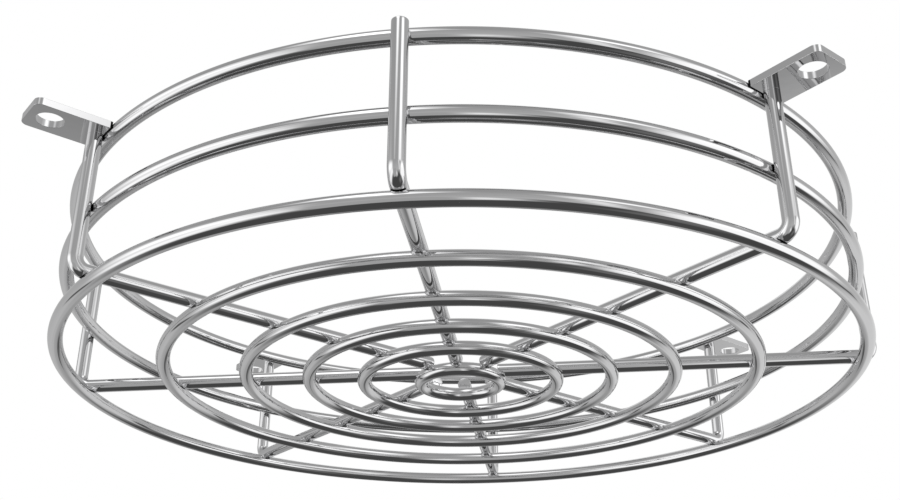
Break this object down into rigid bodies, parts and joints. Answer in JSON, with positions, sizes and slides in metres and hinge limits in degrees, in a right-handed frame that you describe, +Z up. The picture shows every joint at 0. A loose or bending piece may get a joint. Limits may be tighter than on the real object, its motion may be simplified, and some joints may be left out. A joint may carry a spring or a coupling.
{
  "type": "light fixture guard",
  "caption": "Shallow round guard of welded polished wire with outward screw tabs, fixed over a ceiling light to keep knocks off it.",
  "frame": {"origin": "centre of the screw circle, in the plane of the tabs' upper faces, which is the mounting plane", "axes": "+Z up at the ceiling along the guard's axis, -Y to the front, +X to the right; the tabs lie at 45 degrees between X and Y"},
  "size_m": [0.3866, 0.3866, 0.0715],
  "materials": {
    "wire": "bright polished",
    "tab_plate": "bright polished"
  },
  "bodies": {
    "root": {"outer_grid_ring": "wire", "second_grid_ring": "wire", "third_grid_ring": "wire", "fourth_grid_ring": "wire", "fifth_grid_ring": "wire", "centre_ring": "wire", "middle_side_ring": "wire", "top_ring": "wire", "right_rod": "wire", "back_right_rod": "wire", "back_rod": "wire", "back_left_rod": "wire", "left_rod": "wire", "front_left_rod": "wire", "front_rod": "wire", "front_right_rod": "wire", "back_right_tab": "tab_plate", "back_left_tab": "tab_plate", "front_left_tab": "tab_plate", "front_right_tab": "tab_plate"}
  },
  "joints": []
}
